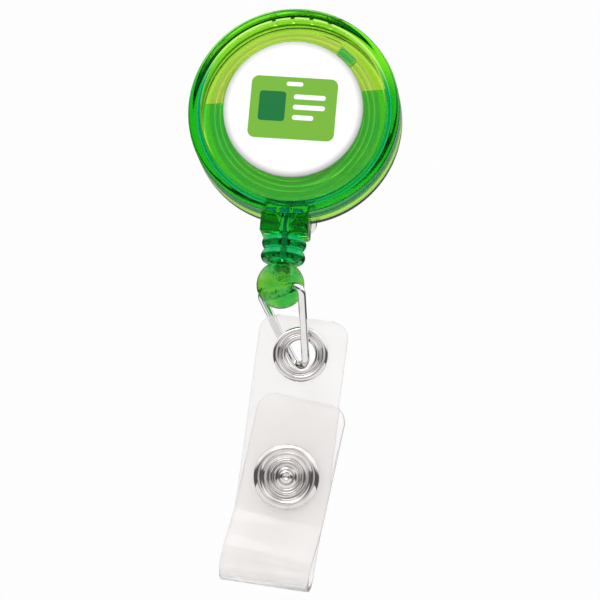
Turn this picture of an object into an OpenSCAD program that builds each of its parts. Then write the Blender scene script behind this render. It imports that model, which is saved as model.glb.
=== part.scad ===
// Retractable badge reel: a round snap-together casing with a sprung cord spool, a ribbed
// cord stop and ball, a wire link, and a folded vinyl strap that closes with a press snap.
// The origin is where the reel's axis meets the casing's flat back face. The front faces -Y.

/* [Casing] */
// Outer radius of the round casing
case_r = 15.9; // [15.5:0.1:16.3]
// Depth from the back face to the flat front band
case_d = 9.1; // [9:0.05:9.3]
// Radius of the round label
label_r = 10.5; // [9:0.1:11]
// Thickness of the label
label_t = 0.7; // [0.4:0.1:0.9]
// Width of the neck that the cord leaves by
neck_w = 7.2; // [6.4:0.1:8]
// Distance from the reel's axis to the neck's end
neck_drop = 18.5; // [18:0.1:19]

/* [Spool] */
// Outer radius of the spool's drum
drum_r = 9.7; // [9.2:0.1:9.9]
// Outer radius of the spool's flanges
flange_r = 13.7; // [13.3:0.1:13.8]
// Height of the straight cut across the front flange, above the axis
flange_cut = 2.4; // [0:0.1:4]
// Turns of the mainspring
spring_turns = 11; // [8:1:12]

/* [Cord and stop] */
// Diameter of the cord
cord_dia = 0.84; // [0.7:0.02:0.9]
// Outer radius of the ribbed stop
stop_r = 3.45; // [3.2:0.05:3.6]
// Radius of the ball
ball_r = 3.575; // [3.5:0.025:3.7]
// Distance from the reel's axis down to the ball's centre
ball_drop = 25.96; // [25.9:0.02:26.1]

/* [Wire link] */
// Diameter of the link's wire
wire_dia = 1.2; // [1.1:0.05:1.2]
// Distance between the link's two arms where they meet the ball's hole
link_w = 9.8; // [9.6:0.1:10.2]
// Distance from the ball's hole to the bottom of the link
link_h = 11.85; // [11.7:0.05:12]
// Radius of the bend at the bottom of the link
link_bend = 1.5; // [1.4:0.1:1.6]
// Angle by which the link swings back from straight down
link_swing = 26.7; // [25:0.1:28]

/* [Strap] */
// Width of the vinyl strap
strap_w = 13.4; // [12.7:0.1:14]
// Thickness of the vinyl strap
strap_t = 0.76; // [0.6:0.02:0.8]
// Distance from the eyelet's centre up to the strap's end
strap_top = 5.5; // [5.2:0.1:5.6]
// Distance from the eyelet's centre down to the fold
strap_drop = 34.7; // [34:0.1:36]
// Distance from the fold up to the flap's end
flap_len = 28.2; // [26:0.1:29]
// Distance from the eyelet's centre down to the snap's centre
snap_drop = 18.4; // [18:0.1:19]
// Outer radius of the snap's cap
snap_r = 4.95; // [4.6:0.05:5]

/* [Belt clip] */
// Width of the belt clip
clip_w = 8; // [7:0.1:9]
// Thickness of the clip's steel
clip_t = 0.6; // [0.5:0.05:0.6]
// Height of the clip's fold above the axis
clip_top = 12.2; // [11:0.1:13]

/* [Hidden] */

fine = 96;
small = 48;
eps = 0.01;

case_green = [0.16, 0.66, 0.24, 0.7];
stop_green = [0.02, 0.52, 0.22, 0.85];
vinyl = [0.92, 0.91, 0.9, 0.7];
nickel = [0.8, 0.8, 0.8];
steel = [0.55, 0.56, 0.58];

// Depths are counted forwards from the casing's back face
cord_z = 4.55;
part_z = cord_z;
floor_z = 1.2;
plate_under = case_d - 1.5;
recess_z = case_d - 0.3;
band_out = 13.9;
front_round = 1.6;
back_round = 1.4;
shell_in = 14.1;
skirt_in = 14.72;
lip_out = 14.65;
lip_top = part_z + 1.1;
post_r = 2.4;
post_bore = 1.65;
post_top = 7.3;
running = 0.07;
rivet_r = 1;
clip_bend = 1.8;

// Neck, bore and ribs of the casing
neck_back = 1.5;
neck_front = 7.5;
funnel_drop = 16.7;
funnel_r = 2.5;
window_z = 7.1;
guide_r = 1.55;
rib_first = 107;
rib_pitch = 11.3;
rib_t = 0.6;
cut_turn = 8.5;
locator_angle = 50.5;
locator_r = 10.8;
locator_w = 2.9;

// Spool depths
drum_back = 1.5;
drum_wall = 1;
rear_flange_z = 2.4;
flange_t = 0.6;
front_flange_z = 6.1;
winding_gap = 0.1;
winding_r = 12.9;

// Cord hole, ball and link
bore_r = 0.8;
knot_drop = 24.4;
cord_hole = 0.6;
stop_top = neck_drop + 0.15;
stop_bottom = 22.72;
hole_drop = 26.6;
hole_turn = -45;
wire_r = wire_dia / 2;

// Strap frame: origin at the eyelet's centre, x across, y up along the strap, z to the front
eyelet_at = [3.66, -1.7, -35.74];
strap_pitch = 8;
strap_lean = 3.4;
flap_lean = 4;
fold_r = 3;
fold_y = -strap_drop + fold_r + strap_t / 2;
eyelet_hole = 2.25;
eyelet_rim = 4.15;
barrel_r = 2.6;
hole_gap = 0.05;
layer_gap = 2.3;
snap_side = 0.65;
snap_at = [snap_side, -snap_drop, layer_gap];
snap_post_r = 1.2;
snap_socket_h = 0.7;
hinge_angle = 50;

// The cord's route from the spool to the knot, as x and height below the axis
cord_route = [[2.6, -13.1], [2.2, -13.35], [1.8, -13.62], [1.42, -13.92], [1.08, -14.28],
    [0.78, -14.7], [0.5, -15.2], [0.25, -15.7], [0.08, -16.2], [0, -16.8], [0, -18.5],
    [0, -20.5], [0, -22.3], [0, -23.7]];

function arc_points(cx, cy, r, from, to, steps) =
    [for (i = [0 : steps]) let (a = from + (to - from) * i / steps)
        [cx + r * cos(a), cy + r * sin(a)]];

// Turns depth into -Y and height into +Z
module stand() {
    rotate([90, 0, 0]) children();
}

module on_strap() {
    translate(eyelet_at) rotate([90 + strap_pitch, 0, 0]) rotate([0, 0, -strap_lean]) children();
}

// Turns a piece in the strap's plane about the fold, as the flap is turned
module on_flap() {
    translate([0, fold_y, 0]) rotate([0, 0, -flap_lean]) translate([0, -fold_y, 0]) children();
}

// Casing

module front_profile() {
    polygon(concat(
        [[0, plate_under], [0, recess_z], [label_r + 0.1, recess_z], [label_r + 0.1, case_d],
            [band_out, case_d], [band_out + 0.15, case_d - 0.25],
            [case_r - front_round, case_d - 0.25]],
        arc_points(case_r - front_round, case_d - 0.25 - front_round, front_round, 90, 0, 8),
        [[case_r, part_z + 0.15], [case_r - 0.15, part_z], [skirt_in, part_z],
            [skirt_in, plate_under - 0.6]],
        arc_points(skirt_in - 0.6, plate_under - 0.6, 0.6, 0, 90, 4)));
}

module back_profile() {
    polygon(concat(
        [[0, 0]],
        arc_points(case_r - back_round, back_round, back_round, -90, 0, 8),
        [[case_r, part_z - 0.15], [case_r - 0.15, part_z], [lip_out, part_z],
            [lip_out, lip_top], [shell_in, lip_top], [shell_in, floor_z + 0.5]],
        arc_points(shell_in - 0.5, floor_z + 0.5, 0.5, 0, -90, 4),
        [[0, floor_z]]));
}

module neck_outline() {
    round_r = 1;
    half = neck_w / 2;
    translate([-half, -neck_drop + round_r]) square([neck_w, neck_drop - round_r - shell_in + 0.6]);
    translate([-half + round_r, -neck_drop]) square([neck_w - 2 * round_r, 2 * round_r]);
    for (side = [-1, 1]) {
        translate([side * (half - round_r), -neck_drop + round_r]) circle(round_r, $fn = small);
    }
}

// The cord's passage: a round bore with a funnel at the casing's inside
module neck_bore() {
    translate([0, 0, cord_z]) rotate([-90, 0, 0]) rotate([0, 0, 70]) rotate_extrude($fn = small)
        polygon([[0, -neck_drop - 1], [bore_r, -neck_drop - 1], [bore_r, -funnel_drop],
            [funnel_r, -13.3], [0, -13.3]]);
}

module snap_ribs() {
    for (i = [0 : 3]) {
        rotate([0, 0, rib_first - i * rib_pitch])
            translate([shell_in, -rib_t / 2, lip_top + 0.1])
                cube([skirt_in - shell_in + 0.3, rib_t, plate_under - lip_top]);
    }
}

module front_shell() {
    color(case_green) stand() difference() {
        union() {
            rotate_extrude($fn = fine) front_profile();
            translate([0, 0, part_z]) linear_extrude(neck_front - part_z) difference() {
                neck_outline();
                circle(skirt_in, $fn = fine);
            }
            // Guide pin in the post, and its shoulder
            translate([0, 0, 6.6])
                cylinder(h = plate_under - 6.6 + eps, r = guide_r, $fn = small);
            translate([0, 0, post_top + 0.1])
                cylinder(h = plate_under - post_top - 0.1 + eps, r = 3, $fn = small);
            snap_ribs();
            // Locating rib beside the label
            rotate([0, 0, locator_angle]) translate([locator_r, -locator_w / 2, 6.95])
                cube([1.2, locator_w, plate_under - 6.95 + eps]);
        }
        neck_bore();
        // Shallow windows at the root of the neck
        for (i = [-1 : 1]) {
            translate([i * 2 - 0.75, -16.4, window_z]) cube([1.5, 1.4, 1]);
        }
    }
}

module back_shell() {
    color(case_green) stand() difference() {
        union() {
            rotate_extrude($fn = fine) back_profile();
            translate([0, 0, neck_back]) linear_extrude(part_z - neck_back) difference() {
                neck_outline();
                circle(shell_in, $fn = fine);
            }
            // Hollow post that the spool turns on
            translate([0, 0, floor_z - eps])
                cylinder(h = post_top - floor_z + eps, r = post_r, $fn = small);
        }
        translate([0, 0, floor_z]) cylinder(h = post_top, r = post_bore, $fn = small);
        translate([0, 0, -1]) cylinder(h = 4, r = rivet_r + hole_gap, $fn = small);
        // Slot for the mainspring's inner end
        translate([-0.25, 0, 2.4]) cube([0.5, post_r + 1, post_top]);
        neck_bore();
    }
}

module label_disc() {
    edge = 0.35;
    color("white") stand() translate([0, 0, recess_z]) rotate_extrude($fn = fine)
        polygon(concat([[0, 0], [label_r, 0], [label_r, label_t - edge]],
            arc_points(label_r - edge, label_t - edge, edge, 15, 90, 5), [[0, label_t]]));
}

// Belt clip

// A strip of even thickness along a path, drawn in the plane of height and depth
function strip_outline(path, t) =
    let (n = len(path),
        dirs = [for (i = [0 : n - 1])
            let (a = path[max(i - 1, 0)], b = path[min(i + 1, n - 1)], d = b - a) d / norm(d)],
        one = [for (i = [0 : n - 1]) path[i] + t / 2 * [-dirs[i][1], dirs[i][0]]],
        other = [for (i = [0 : n - 1]) path[i] - t / 2 * [-dirs[i][1], dirs[i][0]]])
    concat(one, [for (i = [n - 1 : -1 : 0]) other[i]]);

// Extrudes a height and depth outline across x, centred
module across(width) {
    rotate([90, 0, 90]) translate([0, 0, -width / 2]) linear_extrude(width) children();
}

module clip_plate() {
    path = concat([[-5, -clip_t / 2], [0, -clip_t / 2]],
        arc_points(clip_top, -clip_t / 2 - clip_bend, clip_bend, 90, 2, 8));
    color(nickel) stand() difference() {
        across(clip_w) polygon(strip_outline(path, clip_t));
        translate([0, 0, -2]) cylinder(h = 4, r = rivet_r + hole_gap, $fn = small);
    }
}

module clip_arm() {
    back_z = -clip_t / 2 - 2 * clip_bend;
    path = concat(arc_points(clip_top, -clip_t / 2 - clip_bend, clip_bend, -2, -90, 8),
        [[6, back_z + 0.35], [-4, back_z + 1.85], [-9.2, back_z + 3.05], [-10.6, back_z + 3.2],
            [-12, back_z + 2.95], [-16.6, back_z + 1.5]]);
    color(nickel) stand() intersection() {
        across(clip_w) polygon(strip_outline(path, clip_t));
        // Rounded corners at the tip
        translate([0, 0, -6]) linear_extrude(8) {
            translate([-clip_w / 2, -14.8]) square([clip_w, 40]);
            translate([-clip_w / 2 + 2, -16.8]) square([clip_w - 4, 4]);
            for (side = [-1, 1]) {
                translate([side * (clip_w / 2 - 2), -14.8]) circle(2, $fn = small);
            }
        }
    }
}

module clip_rivet() {
    color(nickel) stand() {
        translate([0, 0, -clip_t - 0.4]) cylinder(h = 0.4, r = 1.9, $fn = small);
        translate([0, 0, -clip_t - eps])
            cylinder(h = clip_t + floor_z + 0.1, r = rivet_r, $fn = small);
        translate([0, 0, floor_z]) cylinder(h = 0.45, r = 1.5, $fn = small);
    }
}

// Spool, mainspring and cord

module mainspring() {
    steps = 20;
    inner = post_r + 0.5;
    outer = drum_r - drum_wall - 0.25;
    // The inner end is bent in, and held in the post's slot
    path = concat([[0, post_bore + 0.15], [0, inner - 0.3]],
        [for (i = [1 : spring_turns * steps])
            let (a = 90 + 360 * i / steps, r = inner + (outer - inner) * i / (spring_turns * steps))
                [r * cos(a), r * sin(a)]]);
    color(steel) stand() translate([0, 0, 2.6]) linear_extrude(3.2)
        polygon(strip_outline(path, 0.16));
}

module spool() {
    color([0.55, 0.85, 0.35, 0.8]) stand() difference() {
        union() {
            translate([0, 0, drum_back])
                cylinder(h = front_flange_z - drum_back, r = drum_r, $fn = fine);
            translate([0, 0, rear_flange_z]) cylinder(h = flange_t, r = flange_r, $fn = fine);
        }
        translate([0, 0, drum_back + 0.75])
            cylinder(h = 10, r = drum_r - drum_wall, $fn = fine);
        translate([0, 0, -1]) cylinder(h = 10, r = post_r + running, $fn = small);
        // Slot that holds the cord's inner end
        translate([drum_r - drum_wall - 0.5, -0.45, 3.4]) cube([3, 0.9, 2.2]);
    }
}

module spool_cover() {
    color([0.2, 0.7, 0.3, 0.8]) stand() translate([0, 0, front_flange_z]) difference() {
        cylinder(h = flange_t, r = flange_r, $fn = fine);
        translate([0, 0, -1]) cylinder(h = 10, r = post_r + running, $fn = small);
        // The flange is cut straight above the drum
        rotate([0, 0, cut_turn]) difference() {
            translate([-20, flange_cut, -1]) cube([40, 20, 3]);
            translate([0, 0, -2]) cylinder(h = 5, r = drum_r, $fn = fine);
        }
    }
}

module cord_winding() {
    depth = front_flange_z - rear_flange_z - flange_t - 2 * winding_gap;
    color("white") stand() translate([0, 0, rear_flange_z + flange_t + winding_gap])
        difference() {
            cylinder(h = depth, r = winding_r, $fn = fine);
            translate([0, 0, -1]) cylinder(h = depth + 2, r = drum_r + 0.03, $fn = fine);
        }
}

// A tube swept along a route that lies in one plane
module swept_tube(route, r, sides) {
    n = len(route);
    rings = [for (i = [0 : n - 1])
        let (d = route[min(i + 1, n - 1)] - route[max(i - 1, 0)], t = d / norm(d),
            across = [-t[1], t[0]])
            [for (k = [0 : sides - 1]) let (a = 360 * k / sides)
                [route[i][0] + r * cos(a) * across[0], route[i][1] + r * cos(a) * across[1],
                    r * sin(a)]]];
    points = [for (ring = rings) each ring];
    walls = [for (i = [0 : n - 2]) for (k = [0 : sides - 1])
        let (j = (k + 1) % sides)
            [i * sides + k, (i + 1) * sides + k, (i + 1) * sides + j, i * sides + j]];
    first = [for (k = [0 : sides - 1]) k];
    last = [for (k = [sides - 1 : -1 : 0]) (n - 1) * sides + k];
    polyhedron(points, concat(walls, [first, last]));
}

module cord_lead() {
    color("white") stand() translate([0, 0, cord_z]) swept_tube(cord_route, cord_dia / 2, 8);
}

module cord_knot() {
    color("white") stand() translate([0, -knot_drop, cord_z]) rotate([90, 0, 0]) {
        rotate_extrude($fn = small) translate([0.5, 0]) circle(0.42, $fn = small);
        cylinder(h = 1.1, r = 0.4, center = true, $fn = small);
    }
}

// Places a piece on the cord's own axis, with its local z along +Z
module on_cord() {
    translate([0, -cord_z, 0]) children();
}

module cord_stop() {
    lobe = 1.03;
    color(stop_green) on_cord() difference() {
        union() {
            for (drop = [stop_top + lobe, stop_bottom - lobe]) {
                translate([0, 0, -drop]) rotate_extrude($fn = fine) {
                    square([stop_r - lobe, lobe]);
                    translate([0, -lobe]) square([stop_r - lobe, lobe]);
                    translate([stop_r - lobe, 0]) circle(lobe, $fn = small);
                }
            }
            translate([0, 0, -stop_bottom]) cylinder(h = stop_bottom - stop_top, r = 2.3, $fn = fine);
        }
        translate([0, 0, -30]) cylinder(h = 20, r = cord_hole, $fn = small);
    }
}

module end_ball() {
    color(stop_green) on_cord() difference() {
        translate([0, 0, -ball_drop]) sphere(ball_r, $fn = fine);
        // Flat seat under the ribbed stop
        translate([-5, -5, -stop_bottom - 0.02]) cube(10);
        translate([0, 0, -knot_drop]) cylinder(h = 10, r = cord_hole, $fn = small);
        translate([0, 0, -knot_drop]) sphere(1.2, $fn = small);
        // Cross hole for the wire link
        translate([0, 0, -hole_drop]) rotate([0, 0, hole_turn]) rotate([0, 90, 0])
            cylinder(h = 12, r = wire_r + 0.06, center = true, $fn = small);
    }
}

// Wire link: a rounded V whose two ends go into the ball's cross hole

// Angle of an arm from the link's centre line, closed in on by halving
function arm_angle(lo = 5, hi = 45, turn = 0) =
    let (a = (lo + hi) / 2, width = (link_h + link_bend * (1 / sin(a) - 1)) * tan(a))
    turn > 30 ? a : width > link_w / 2 ? arm_angle(lo, a, turn + 1) : arm_angle(a, hi, turn + 1);

// The bent part of the wire: from one bar round a corner, down an arm, and up the other
function link_route(a, corner, reach) = concat(
    [[link_w / 2 - reach - 0.3, 0]],
    arc_points(link_w / 2 - reach, -corner, corner, 90, -a, 7),
    arc_points(0, link_bend - link_h, link_bend, -a, a - 180, 10),
    arc_points(reach - link_w / 2, -corner, corner, 180 + a, 90, 7),
    [[reach + 0.3 - link_w / 2, 0]]);

module wire_link() {
    a = arm_angle();
    corner = 0.9;
    reach = corner / tan((90 - a) / 2);
    color(nickel) on_cord() translate([0, 0, -hole_drop]) rotate([0, 0, hole_turn])
        rotate([90 + link_swing, 0, 0]) {
            swept_tube(link_route(a, corner, reach), wire_r - 0.01, 16);
            // The two straight ends that turn in the ball's hole
            for (side = [-1, 1]) {
                rotate([0, side * 90, 0]) translate([0, 0, 0.4])
                    cylinder(h = link_w / 2 - reach - 0.4, r = wire_r, $fn = small);
            }
        }
}

// Strap

function fold_arc(from, to, steps) =
    [for (i = [0 : steps]) let (a = from + (to - from) * i / steps)
        [fold_y - fold_r * sin(a), fold_r - fold_r * cos(a)]];

// The flap above the fold closes in on the strap and then runs level with it
flap_path = concat(
    fold_arc(160, 180, 2),
    [[-30.2, 5.86], [-29.4, 5.6], [-28.4, 5.1], [-27.2, 4.2], [-26, 3.25], [-25, 2.65],
        [-24.3, 2.36], [-23.7, layer_gap], [-strap_drop + flap_len, layer_gap]]);

module strip_corners(bottom, top, r) {
    half = strap_w / 2;
    translate([-half, bottom]) square([strap_w, top - r - bottom]);
    translate([-half + r, top - 2 * r]) square([strap_w - 2 * r, 2 * r]);
    for (side = [-1, 1]) {
        translate([side * (half - r), top - r]) circle(r, $fn = small);
    }
}

module strap_back() {
    color(vinyl) on_strap() difference() {
        intersection() {
            across(strap_w) polygon(strip_outline(concat([[strap_top, 0], [0, 0], [-20, 0]],
                fold_arc(0, hinge_angle, 6)), strap_t));
            translate([0, 0, -2]) linear_extrude(8) strip_corners(-40, strap_top, 2.6);
        }
        translate([0, 0, -2]) cylinder(h = 4, r = barrel_r + hole_gap, $fn = small);
        translate([snap_side, -snap_drop, -2])
            cylinder(h = 4, r = snap_post_r + hole_gap, $fn = small);
    }
}

module strap_flap() {
    color(vinyl) on_strap() difference() {
        union() {
            across(strap_w) polygon(strip_outline(fold_arc(hinge_angle + 1.5, 178, 12), strap_t));
            on_flap() intersection() {
                across(strap_w) polygon(strip_outline(flap_path, strap_t));
                translate([0, 0, -2]) linear_extrude(12)
                    strip_corners(-40, -strap_drop + flap_len, 2.6);
            }
        }
        translate(snap_at) translate([0, 0, -2])
            cylinder(h = 4, r = snap_post_r + hole_gap, $fn = small);
    }
}

module eyelet_barrel() {
    color(nickel) on_strap() rotate_extrude($fn = fine) difference() {
        union() {
            translate([eyelet_hole, -strap_t / 2 - 0.4]) square([barrel_r - eyelet_hole, strap_t + 0.6]);
            // Front flange with a rounded outer edge
            translate([eyelet_hole, strap_t / 2]) square([eyelet_rim - eyelet_hole - 0.25, 0.5]);
            translate([eyelet_rim - 0.25, strap_t / 2 + 0.25]) circle(0.25, $fn = 24);
        }
        translate([eyelet_rim - 0.9, strap_t / 2 + 0.5]) square([0.3, 0.14], center = true);
    }
}

module eyelet_washer() {
    color(nickel) on_strap() translate([0, 0, -strap_t / 2 - 0.4]) difference() {
        cylinder(h = 0.4, r = eyelet_rim - 0.1, $fn = fine);
        translate([0, 0, -1]) cylinder(h = 3, r = barrel_r + hole_gap, $fn = small);
    }
}

module snap_cap() {
    face = strap_t / 2;
    roll = 0.7;
    color(nickel) on_strap() translate(snap_at) {
        rotate_extrude($fn = fine) {
            // Rolled rim, dish and nipple
            translate([snap_r - roll, face + roll]) circle(roll, $fn = small);
            polygon([[0, face], [snap_r - roll, face], [snap_r - roll, face + 0.5],
                [2.6, face + 0.55], [2.2, face + 1], [1.2, face + 0.5], [0.9, face + 1.3],
                [0.5, face + 1.5], [0, face + 1.4]]);
        }
        translate([0, 0, -face - 0.35]) cylinder(h = 2 * face + 0.35, r = snap_post_r, $fn = small);
    }
}

module snap_socket() {
    top = -strap_t / 2;
    color(nickel) on_strap() translate(snap_at) rotate_extrude($fn = fine)
        polygon([[snap_post_r + 0.05, top], [3.9, top], [3.9, top - snap_socket_h],
            [2.1, top - snap_socket_h], [2.1, top - 0.25], [snap_post_r + 0.05, top - 0.25]]);
}

module snap_stud() {
    base = strap_t / 2;
    color(nickel) on_strap() translate([snap_side, -snap_drop, base]) rotate_extrude($fn = fine)
        polygon([[0, 0.35], [snap_post_r + 0.05, 0.35], [snap_post_r + 0.05, 0], [3.6, 0],
            [3.6, 0.3], [1.85, 0.3], [1.85, 0.95], [0, 0.95]]);
}

module snap_post() {
    base = -strap_t / 2;
    color(nickel) on_strap() translate([snap_side, -snap_drop, 0]) {
        translate([0, 0, base - 0.45]) cylinder(h = 0.45, r = 4, $fn = fine);
        translate([0, 0, base - eps]) cylinder(h = strap_t + 0.3, r = snap_post_r, $fn = small);
    }
}

front_shell();
back_shell();
label_disc();
clip_plate();
clip_arm();
clip_rivet();
mainspring();
spool();
spool_cover();
cord_winding();
cord_lead();
cord_knot();
cord_stop();
end_ball();
wire_link();
strap_back();
strap_flap();
eyelet_barrel();
eyelet_washer();
snap_cap();
snap_socket();
snap_stud();
snap_post();
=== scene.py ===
# %% [markdown]
# A retractable badge reel hangs a card on a sprung cord. This lesson builds its looks in Blender
# around a finished engineering model, one piece and one finish at a time. Every new piece is a
# surface worked out with numpy, and every finish is a small graph of shader nodes written as
# Python expressions.

# %% Load the fixed frame
import math

import bmesh
import bpy
import numpy as np
from mathutils import Matrix, Vector


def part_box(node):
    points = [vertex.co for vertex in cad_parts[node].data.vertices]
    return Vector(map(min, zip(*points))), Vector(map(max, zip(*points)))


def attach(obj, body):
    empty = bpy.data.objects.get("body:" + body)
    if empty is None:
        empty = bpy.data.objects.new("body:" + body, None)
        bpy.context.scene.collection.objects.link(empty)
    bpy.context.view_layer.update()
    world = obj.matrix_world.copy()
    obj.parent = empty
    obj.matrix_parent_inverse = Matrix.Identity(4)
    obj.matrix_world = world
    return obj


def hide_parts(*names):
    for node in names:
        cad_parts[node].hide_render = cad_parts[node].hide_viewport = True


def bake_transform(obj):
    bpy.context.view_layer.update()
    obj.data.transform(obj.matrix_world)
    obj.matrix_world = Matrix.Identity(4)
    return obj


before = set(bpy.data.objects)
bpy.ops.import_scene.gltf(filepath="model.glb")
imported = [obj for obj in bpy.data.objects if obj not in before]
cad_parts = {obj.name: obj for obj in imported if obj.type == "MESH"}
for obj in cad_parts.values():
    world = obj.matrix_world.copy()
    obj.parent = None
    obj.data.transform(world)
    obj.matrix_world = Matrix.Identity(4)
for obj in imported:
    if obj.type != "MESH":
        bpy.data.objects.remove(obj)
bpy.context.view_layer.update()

MM = 0.001

# %% [markdown]
# Sizes come from the frame, or repeat the few figures that it can't say, in millimetres. Depths
# are counted forwards from the casing's back face, so a depth becomes -Y.

# %% Sizes shared by several pieces
CORD_DEPTH = 4.55
CORD_R = 0.42
CASE_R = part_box("front_shell")[1].x / MM
BAND_DEPTH = -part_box("front_shell")[0].y / MM
LABEL_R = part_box("label_disc")[1].x / MM
NECK_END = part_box("front_shell")[0].z / MM
STOP_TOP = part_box("cord_stop")[1].z / MM
STOP_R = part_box("cord_stop")[1].x / MM
BALL_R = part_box("end_ball")[1].x / MM
BALL_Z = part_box("end_ball")[0].z / MM + BALL_R
HOLE_Z = -26.6
WIRE_R = 0.6
print(f"casing radius {CASE_R:.2f}, band depth {BAND_DEPTH:.2f}, ball's centre {BALL_Z:.2f}")

# %% [markdown]
# Three places on the object have a frame of their own: the casing, whose axis points to the
# front, the cord, whose axis points up, and the strap, which leans and tips. A piece is drawn in
# the simplest of them and then carried to its place, so its object stays at the origin.

# %% Frames of the casing, the cord and the strap
STRAP_AT = np.array([3.66, -1.7, -35.74])
STRAP_PITCH = math.radians(98)
STRAP_LEAN = math.radians(-3.4)
FLAP_LEAN = math.radians(-4.8)


def turn_x(points, angle):
    """Turns points about X: y and z mix by the cosine and the sine of the angle."""
    x, y, z = np.moveaxis(points, -1, 0)
    return np.stack([x, y * np.cos(angle) - z * np.sin(angle),
                     y * np.sin(angle) + z * np.cos(angle)], -1)


def turn_z(points, angle):
    """Turns points about Z: x and y mix by the cosine and the sine of the angle."""
    x, y, z = np.moveaxis(points, -1, 0)
    return np.stack([x * np.cos(angle) - y * np.sin(angle),
                     x * np.sin(angle) + y * np.cos(angle), z], -1)


def on_casing(points):
    """Local z becomes depth, towards -Y, and local y becomes height."""
    return turn_x(points, math.pi / 2)


def on_cord(points):
    """Local z is height, and the axis is the cord's."""
    return points + np.array([0, -CORD_DEPTH, 0])


def on_strap(points):
    """Local x is across the strap, y is along it and z is out of its front, from the eyelet's
    centre."""
    return turn_x(turn_z(points, STRAP_LEAN), STRAP_PITCH) + STRAP_AT


print("the strap's origin is at", STRAP_AT, "mm")

# %% [markdown]
# A grid of points is the whole shape of a piece. Neighbours in the grid become a four-sided
# face, and points that fall on each other are merged, which closes the seam of a round piece and
# the poles of a ball. The grid's row and column also give the piece its UV map, so a pattern can
# follow the surface.

# %% From a grid of points to a mesh
SHARP_ANGLE = math.radians(40)


def finished(obj, body, stands_for):
    """Shades a piece smooth except at its sharp edges, and says what it is and rides on."""
    obj.data.shade_smooth()
    obj.data.set_sharp_from_angle(angle=SHARP_ANGLE)
    if body:
        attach(obj, body)
    if stands_for:
        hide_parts(*stands_for)
    print(f"{obj.name}: {len(obj.data.polygons)} faces")
    return obj


def surface(name, grid):
    """An object whose faces join each point of a rows x columns grid to the next row and the
    next column."""
    rows, columns = grid.shape[:2]
    index = np.arange(rows * columns).reshape(rows, columns)
    quads = np.stack([index[:-1, :-1], index[1:, :-1], index[1:, 1:], index[:-1, 1:]], -1)
    u, v = np.meshgrid(np.linspace(0, 1, rows), np.linspace(0, 1, columns), indexing="ij")
    mesh = bpy.data.meshes.new(name)
    mesh.from_pydata((grid.reshape(-1, 3) * MM).tolist(), [], quads.reshape(-1, 4).tolist())
    layer = mesh.uv_layers.new(name="along_and_around")
    flat_uv = np.stack([u, v], -1).reshape(-1, 2)[quads.reshape(-1)]
    layer.data.foreach_set("uv", flat_uv.ravel())
    work = bmesh.new()
    work.from_mesh(mesh)
    bmesh.ops.remove_doubles(work, verts=work.verts, dist=1e-7)
    bmesh.ops.recalc_face_normals(work, faces=work.faces)
    work.to_mesh(mesh)
    work.free()
    obj = bpy.data.objects.new(name, mesh)
    bpy.context.scene.collection.objects.link(obj)
    return obj


# %% [markdown]
# Moulded plastic and stamped metal have no knife edges. An outline is therefore written as
# corners, each with its own easing, and a short parabola replaces each corner: it leaves the
# first side and joins the second one without a kink.

# %% Outlines with eased corners
def eased(corners, steps=5):
    """Corners are (x, y, ease). Each becomes the parabola (1-t)^2 a + 2t(1-t) b + t^2 c, from a
    on the side before to c on the side after, both at the easing's distance from corner b."""
    points = np.array([c[:2] for c in corners], float)
    t = np.linspace(0, 1, steps)[:, None]
    outline = [points[:1]]
    eases = [corner[2] for corner in corners[1:]]
    for before, corner, after, ease in zip(points, points[1:], points[2:], eases):
        back, forth = np.linalg.norm(before - corner), np.linalg.norm(after - corner)
        reach = min(ease, 0.49 * back, 0.49 * forth)
        if reach < 1e-6:
            outline.append(corner[None])
            continue
        a = corner + (before - corner) / back * reach
        c = corner + (after - corner) / forth * reach
        outline.append((1 - t) ** 2 * a + 2 * t * (1 - t) * corner + t ** 2 * c)
    return np.concatenate(outline + [points[-1:]])


def arc(x, y, radius, start, end, steps=24):
    """Points on a circle from one angle to another, in degrees."""
    angle = np.radians(np.linspace(start, end, steps))
    return np.stack([x + radius * np.cos(angle), y + radius * np.sin(angle)], -1)


def turned(name, outline, place, steps=160):
    """A turned piece: the outline's (radius, height) points are carried round the local z axis,
    x = radius cos(angle), y = radius sin(angle), z = height."""
    angle = np.linspace(0, 2 * np.pi, steps + 1)
    radius, height = outline[:, :1], outline[:, 1:]
    grid = np.stack([radius * np.cos(angle), radius * np.sin(angle), height + 0 * angle], -1)
    return surface(name, place(grid))


def ring(outline):
    """Closes an outline that doesn't touch the axis, by repeating its first point."""
    return np.concatenate([outline, outline[:1]])


# %% [markdown]
# A wire, a cord and a spring are all a circle carried along a path. Each ring of the tube stands
# square to the path, and its zero direction is carried over from the ring before, so that the
# tube doesn't twist.

# %% Tubes along a path
def even_path(points, count):
    """Evenly spaced points along a polyline."""
    points = np.asarray(points, float)
    length = np.concatenate([[0], np.cumsum(np.linalg.norm(np.diff(points, axis=0), axis=1))])
    where = np.linspace(0, length[-1], count)
    return np.stack([np.interp(where, length, points[:, k]) for k in range(3)], -1)


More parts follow.
